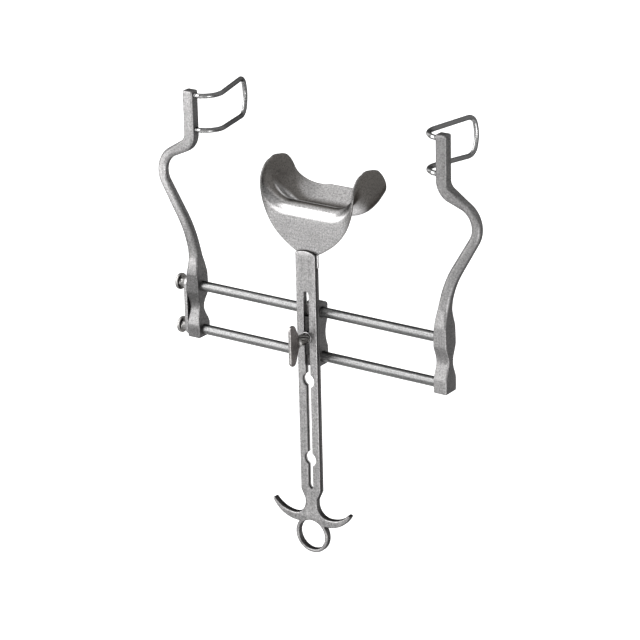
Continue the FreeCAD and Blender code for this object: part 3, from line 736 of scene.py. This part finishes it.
def slotOutline():
    # long slot whose sides open into round keyholes
    h = shankShape
    half = h["slotWidth"] / 2
    dy = math.sqrt(h["keyhole"] ** 2 - half ** 2)
    tilt = math.degrees(math.atan2(dy, half))
    right = [arc((0, h["slotTop"] - half), half, 90, 0, 8)]
    for y in h["keyholes"]:
        right.append(arc((0, y), h["keyhole"], tilt, -tilt, 16))
    right.append(arc((0, h["slotFoot"] + half), half, 0, -90, 8))
    right = np.vstack(right)
    return np.vstack([right, (right[::-1] * (-1, 1))[1:-1]])


def shankBevel(loop, index):
    # edge round over the outline: small along the bar, larger on the hooks and ring, and
    # least round the slot, which is the second loop
    h = shankShape
    if index == 1:
        return np.full(len(loop), h["holeEdge"])
    blend = np.clip((h["shoulder"] - loop[:, 1]) / h["blendLength"], 0, 1)
    return h["edge"] + (h["handleEdge"] - h["edge"]) * blend


def slotPaintedShade(place, normal):
    # faces are painted bright and sides painted dark as shade, by the level of each point; the
    # walls of the slot and keyholes get the darkest painted shade, and the hooks' upward sides a
    # little more painted shade than the rest
    h, tone = shankShape, slotShade
    level = np.abs(place[:, 2] - (h["front"] + h["back"]) / 2)
    half = (h["front"] - h["back"]) / 2
    share = softStep(level, half - tone["fade"][0], half - tone["fade"][1])
    aside, above = tone["margin"]
    inSlot = ((np.abs(place[:, 0] - h["center"]) < h["keyhole"] + aside)
              & (place[:, 1] > h["slotFoot"] - above) & (place[:, 1] < h["slotTop"] + above))
    upward = softStep(normal[:, 1], *tone["upward"]) * (place[:, 1] < h["shoulder"])
    return np.where(inSlot, share * (1 + tone["wallShade"]) - tone["wallShade"],
                    share - tone["upwardShade"] * upward * (1 - share))


h = shankShape
outline = resample(shankOutline(), h["step"])
holes = [resample(slotOutline(), h["step"]), circle((0, h["ring"]), h["ringBore"], 96)]
# two layers, as the back one ends where the blade's tang is lapped on
frontPart = plate(outline, holes, h["lapLevel"], h["front"], 0.0, shankBevel)
lapFoot = h["top"] - h["lap"]
backLine = outline.copy()
backLine[:, 1] = np.minimum(backLine[:, 1], lapFoot)
keep = np.any(np.abs(backLine - np.roll(backLine, 1, 0)) > 1e-6, axis=1)
backPart = plate(backLine[keep], holes, h["back"], h["lapLevel"], shankBevel, 0.0)
for suffix, (points, faces, flats) in (("front", frontPart), ("back", backPart)):
    points = points + (h["center"], 0, 0)
    nodes = ("slotted_shank",) if suffix == "front" else ()
    addPiece("shank_" + suffix, points, faces, "shank", barSteel, nodes, flats,
             slotPaintedShade)
print("shank made")


# centre blade

bladeShape = {
    "center": -1.5, "tang": 47.0, "level": 7.2, "thickness": 1.8, "lap": 9.0, "front": 22.0,
    "ridge": (7.1, 124.0), "trough": 7.2, "back": (17.4, 64.0), "lip": 12.0,
    "flat": 16.0, "sideRadius": 18.6, "tangHalf": 7.4, "rows": 220, "columns": 180,
    "lineSteps": 4000, "rimBulge": 0.8,
    # length past the lap against half width along the curved sheet
    "outline": ((0.0, 7.4), (1.9, 11.0), (6.8, 18.4), (14.6, 31.2), (23.4, 43.4), (30.2, 47.5),
                (37.0, 51.2), (40.5, 54.1), (44.8, 56.5), (48.0, 57.5), (51.6, 57.9),
                (55.5, 56.9), (59.4, 53.4), (63.3, 47.4), (67.2, 38.6), (71.1, 29.8),
                (74.0, 21.5), (76.2, 12.0)),
}
# limits of the blade's painted light: lean of the faces, the undercut's painted highlight, and
# how far from the middle the ears' painted shade begins
bladeLightTable = {
    "lean": (0.15, 0.8), "undercut": (0.02, 0.2), "reach": 34.0, "fade": 8.0, "earShare": 0.3,
}


def smoothTable(at, table):
    # cubic curve through a table of points, with slopes that never overshoot
    x, y = np.array(table).T
    rise = np.diff(y) / np.diff(x)
    same = rise[:-1] * rise[1:] > 0
    total = np.where(same, rise[:-1] + rise[1:], 1)
    inner = np.where(same, 2 * rise[:-1] * rise[1:] / total, 0)
    slope = np.concatenate([rise[:1], inner, rise[-1:]])
    at = np.clip(at, x[0], x[-1])
    i = np.clip(np.searchsorted(x, at, side="right") - 1, 0, len(x) - 2)
    h = x[i + 1] - x[i]
    t = (at - x[i]) / h
    return ((2 * t ** 3 - 3 * t ** 2 + 1) * y[i] + (t ** 3 - 2 * t ** 2 + t) * h * slope[i]
            + (3 * t ** 2 - 2 * t ** 3) * y[i + 1] + (t ** 3 - t ** 2) * h * slope[i + 1])


def bladeSurface():
    # middle line: flat, ridge arc, straight, trough arc and lip, as an angle integrated along
    # its length; across it the sheet is flat and then turns up along an arc
    b = bladeShape
    flat = b["lap"] + b["front"]
    ridge, back = b["ridge"], b["back"]
    lengths = [flat, math.radians(ridge[1]) * ridge[0], b["trough"],
               math.radians(back[1]) * back[0], b["lip"]]
    ends = np.cumsum(lengths)
    u = np.linspace(0, ends[-1], b["lineSteps"] + 1)
    angle = np.interp(u, [0, ends[0], ends[1], ends[2], ends[3], ends[4]],
                      np.radians([0, 0, ridge[1], ridge[1], ridge[1] - back[1],
                                  ridge[1] - back[1]]))
    step = np.diff(u)
    mid = (angle[1:] + angle[:-1]) / 2
    y = b["tang"] + np.concatenate([[0], np.cumsum(np.cos(mid) * step)])
    z = b["level"] - np.concatenate([[0], np.cumsum(np.sin(mid) * step)])
    rows = np.linspace(0, ends[-1], b["rows"])
    half = np.where(rows <= b["lap"], b["tangHalf"], smoothTable(rows - b["lap"], b["outline"]))
    share = np.sin(np.linspace(-1, 1, b["columns"]) * np.pi / 2)
    s = half[:, None] * share[None, :]
    over = np.clip(np.abs(s) - b["flat"], 0, None)
    quarter = np.pi / 2 * b["sideRadius"]
    turn = np.minimum(over, quarter) / b["sideRadius"]
    x = np.sign(s) * (np.minimum(np.abs(s), b["flat"]) + b["sideRadius"] * np.sin(turn))
    rise = b["sideRadius"] * (1 - np.cos(turn)) + np.clip(over - quarter, 0, None)
    middle = np.stack([b["center"] + x, np.interp(rows, u, y)[:, None] + rise,
                       np.broadcast_to(np.interp(rows, u, z)[:, None], x.shape)], -1)
    # normals from the exact slopes along both directions
    a = np.interp(rows, u, angle)[:, None]
    alongV = np.stack([np.zeros_like(a), np.cos(a), -np.sin(a)], -1)
    alongV = alongV * np.ones_like(x)[..., None]
    acrossV = np.stack([np.cos(turn), np.sign(s) * np.sin(turn), np.zeros_like(x)], -1)
    normal = np.cross(acrossV, alongV)
    normal /= np.linalg.norm(normal, axis=-1)[..., None]
    return middle, normal


def bladeMesh():
    # two skins half a thickness each side, joined by a rounded rim
    middle, normal = bladeSurface()
    rows, columns = middle.shape[:2]
    half = bladeShape["thickness"] / 2
    front, back = middle + normal * half, middle - normal * half
    index = np.arange(rows * columns).reshape(rows, columns)
    border = np.concatenate([index[0], index[1:, -1], index[-1, -2::-1], index[-2:0:-1, 0]])
    flatMiddle, flatNormal = middle.reshape(-1, 3), normal.reshape(-1, 3)
    edge, up = flatMiddle[border], flatNormal[border]
    tangent = np.roll(edge, -1, 0) - np.roll(edge, 1, 0)
    outward = np.cross(tangent, up)
    outward /= np.linalg.norm(outward, axis=1)[:, None]
    arcs = np.linspace(0, np.pi, 9)[1:-1]
    bulge = half * bladeShape["rimBulge"]
    rim = [edge + up * half * math.cos(t) + outward * bulge * math.sin(t) for t in arcs]
    points = np.vstack([front.reshape(-1, 3), back.reshape(-1, 3)] + rim)
    count = rows * columns
    faces = gridFaces(rows, columns, False) + gridFaces(rows, columns, False, count)
    n = len(border)
    chain = [border] + [2 * count + k * n + np.arange(n) for k in range(len(arcs))]
    chain.append(border + count)
    for here, after in zip(chain, chain[1:]):
        faces += np.stack([here, np.roll(here, -1), np.roll(after, -1), after], -1).tolist()
    return points, faces


def bladePaintedLight(place, normal):
    # painted bright where the sheet leans to Z, a painted highlight in the undercut past the
    # ridge, and painted shade on the ears past the reach; the limits are set by the tones in the
    # photo
    tone = bladeLightTable
    lean = softStep(np.abs(normal[:, 2]), *tone["lean"])
    undercut = softStep(-normal[:, 1] * normal[:, 2], *tone["undercut"])
    aside = np.abs(place[:, 0] - bladeShape["center"])
    inside = softStep(tone["reach"] - aside, 0, tone["fade"])
    return np.maximum(lean * (tone["earShare"] + (1 - tone["earShare"]) * inside),
                      undercut * inside)


points, faces = bladeMesh()
addPiece("dished_blade", points, faces, "shank", bladeSteel, ("center_blade",),
         paintedLight=bladePaintedLight)
print("centre blade made")


# clamp screw with its wing

screwShape = {
    "center": (-1.5, 0, 0), "washer": (10.5, 11.3, 4.0), "hub": 3.5, "hubTop": 20.9,
    "stem": 2.0, "tail": -5.89, "tailEdge": 0.3, "ringLow": -5.89, "ringHigh": -4.89,
    "ringRadius": 3.5, "ringGrip": 0.1, "ringEdge": 0.2, "washerEdges": (0.15, 0.25),
    "ribDepth": 0.5, "ribPitch": 5.0, "ribStarts": 8, "turns": 72,
}
wingShape = {
    "thickness": 2.0, "up": 12.8, "down": 14.4, "ear": 3.3, "earHeight": 26.3,
    "upArc": (-70, 105), "downArc": (75, 250), "root": 19.3, "rootHalf": 3.5,
    "flareUp": 1.0, "flareDown": 1.2, "flareHeight": 1.0, "edge": 0.6, "step": 1.2,
}
c = screwShape
low, high, radius = c["washer"]
under, over = c["washerEdges"]
points, faces = tube(lathe([(0.01, low), (radius - under, low), (radius, low + under),
                            (radius, high - over), (radius - over, high), (0.01, high)],
                           64, c["center"], "z"))
addPiece("washer_disc", points, faces, "washer", barSteel, ("swivel_washer",))
# profile of the stem and the hub, from the tail up
hub, stem, e = c["hub"], c["stem"], c["tailEdge"]
climb = np.linspace(high + 1.2, c["hubTop"] - 0.7, 60)
profile = [(0.01, c["tail"]), (stem - e, c["tail"]), (stem, c["tail"] + e),
           (stem, high - 0.01), (hub - 0.2, high), (hub, high + 0.2), (hub, high + 0.8)]
profile += [(hub, z) for z in climb]
profile += [(hub, c["hubTop"] - 0.5), (hub - 0.5, c["hubTop"]), (0.01, c["hubTop"])]
rings = lathe(profile, c["turns"], c["center"], "z")
# slanting ribs: the radius falls by a raised cosine of height less turn, which fades out
# towards both ends of the hub
turns = np.linspace(0, 1, c["turns"], endpoint=False)
height = np.array(profile)[:, 1][:, None]
fade = (softStep(height, high + 1.0, high + 1.8)
        - softStep(height, c["hubTop"] - 1.5, c["hubTop"] - 0.7))
rib = 1 - fade * c["ribDepth"] / hub * (0.5 + 0.5 * np.cos(
    2 * np.pi * (height / c["ribPitch"] - turns * c["ribStarts"])))
rings[:, :, 0] = c["center"][0] + (rings[:, :, 0] - c["center"][0]) * rib
rings[:, :, 1] *= rib
points, faces = tube(rings)
addPiece("screw_hub", points, faces, "screw", turnedSteel, ("clamp_screw",))
inner, outer, e = stem - c["ringGrip"], c["ringRadius"], c["ringEdge"]
points, faces = tube(lathe(
    [(inner, c["ringLow"]), (outer - e, c["ringLow"]), (outer, c["ringLow"] + e),
     (outer, c["ringHigh"] - e), (outer - e, c["ringHigh"]), (inner, c["ringHigh"])],
    48, c["center"], "z"))
addPiece("stop_collar", points, faces, "screw", turnedSteel,
         ("screw_stop_ring",))


def wingOutline():
    # paddle with two round ears, with straight runs between them and down to the hub
    w = wingShape
    r, z, root, half = w["ear"], w["earHeight"], w["root"], w["rootHalf"]
    flare = root + w["flareHeight"]
    return np.vstack([
        arc((w["up"] - r, z), r, *w["upArc"], 20), arc((r - w["down"], z), r, *w["downArc"], 20),
        [(-half - w["flareDown"], flare), (-half, root), (half, root),
         (half + w["flareUp"], flare)]])


w = wingShape
middle = c["center"][0]
points, faces, flats = plate(resample(wingOutline(), w["step"]), [],
                             middle - w["thickness"] / 2, middle + w["thickness"] / 2,
                             w["edge"], w["edge"])
addPiece("wing_paddle", alongX(points), faces, "screw", wingSteel, ("wing_grip",),
         flats)
print("clamp screw made")


# floor, light and camera

studio = {
    "floorDrop": 0.002, "floorSize": 6.0, "floorTone": (0.8, 0.8, 0.8, 1), "floorGlow": 0.8,
    "white": (1, 1, 1, 1), "worldTone": 0.39,
    "lamps": (
        # name, place, size and power in watts; all aim at the origin
        ("keyPanel", (-0.9, 0.30, 1.1), 0.9, 7.0),
        ("ridgePanel", (-0.80, 1.09, 0.64), 0.7, 6.0),
        ("nearPanel", (-0.75, -0.40, 1.0), 0.8, 0.25),
        ("overPanel", (0.15, -0.55, 1.5), 0.5, 1.6),
        ("edgePanel", (1.15, -0.53, 0.80), 0.5, 6.0),
    ),
}
lowest = min(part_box(node)[0][2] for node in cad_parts)
size = studio["floorSize"] / 2
floorMesh = bpy.data.meshes.new("floor")
floorMesh.from_pydata([(-size, -size, 0), (size, -size, 0), (size, size, 0), (-size, size, 0)],
                      [], [(0, 1, 2, 3)])
floorMesh.transform(Matrix.Translation((0, 0, lowest - studio["floorDrop"])))
floor = bpy.data.objects.new("floor", floorMesh)
bpy.context.scene.collection.objects.link(floor)
floorLook = bpy.data.materials.new("floorWhite")
floorLook.use_nodes = True
tree = floorLook.node_tree
tree.nodes.remove(tree.nodes["Principled BSDF"])
# matte for the light, and a glow on top for the rays that show it as the background
matte = tree.nodes.new("ShaderNodeBsdfDiffuse")
matte.inputs["Color"].default_value = studio["floorTone"]
glow = tree.nodes.new("ShaderNodeEmission")
glow.inputs["Color"].default_value = studio["white"]
glow.inputs["Strength"].default_value = studio["floorGlow"]
lit = tree.nodes.new("ShaderNodeAddShader")
tree.links.new(matte.outputs["BSDF"], lit.inputs[0])
tree.links.new(glow.outputs["Emission"], lit.inputs[1])
pick = tree.nodes.new("ShaderNodeMixShader")
tree.links.new(rayKind(tree, "Is Camera Ray", "Is Glossy Ray", "Is Transmission Ray"),
               pick.inputs["Fac"])
tree.links.new(matte.outputs["BSDF"], pick.inputs[1])
tree.links.new(lit.outputs["Shader"], pick.inputs[2])
tree.links.new(pick.outputs["Shader"], tree.nodes["Material Output"].inputs["Surface"])
floorMesh.materials.append(floorLook)

# white where the camera looks past the floor, and the plain tone for the light; Is Glossy
# Ray isn't among the rays here, so metal mirrors the plain tone
world = bpy.data.worlds.new("studio")
world.use_nodes = True
tree = world.node_tree
background = tree.nodes["Background"]
background.inputs["Color"].default_value = studio["white"]
tree.links.new(rangeNode(tree, rayKind(tree, "Is Camera Ray", "Is Transmission Ray"),
                         (0, 1), (studio["worldTone"], 1.0)), background.inputs["Strength"])
bpy.context.scene.world = world

for name, place, extent, power in studio["lamps"]:
    light = bpy.data.lights.new(name, "AREA")
    light.shape = "SQUARE"
    light.size = extent
    light.energy = power
    lamp = bpy.data.objects.new(name, light)
    lamp.location = place
    lamp.visible_camera = False
    lamp.rotation_euler = (-Vector(place)).to_track_quat("-Z", "Y").to_euler()
    bpy.context.scene.collection.objects.link(lamp)

cameraPlace = {
    "position": (0.9657, 0.6409, 1.3804), "lens": 159.9, "sensor": 36.0, "clipEnd": 20,
    "right": (0.8243, -0.0217, -0.5657), "up": (-0.1821, 0.9360, -0.3013),
    "back": (0.5360, 0.3513, 0.7676),
}
cameraData = bpy.data.cameras.new("photoCamera")
cameraData.lens = cameraPlace["lens"]
cameraData.sensor_width = cameraPlace["sensor"]
cameraData.clip_end = cameraPlace["clipEnd"]
camera = bpy.data.objects.new("photoCamera", cameraData)
turn = Matrix((cameraPlace["right"], cameraPlace["up"], cameraPlace["back"])).transposed()
camera.matrix_world = Matrix.Translation(cameraPlace["position"]) @ turn.to_4x4()
bpy.context.scene.collection.objects.link(camera)
bpy.context.scene.camera = camera
bpy.context.scene.view_settings.view_transform = "Standard"
print("studio made")
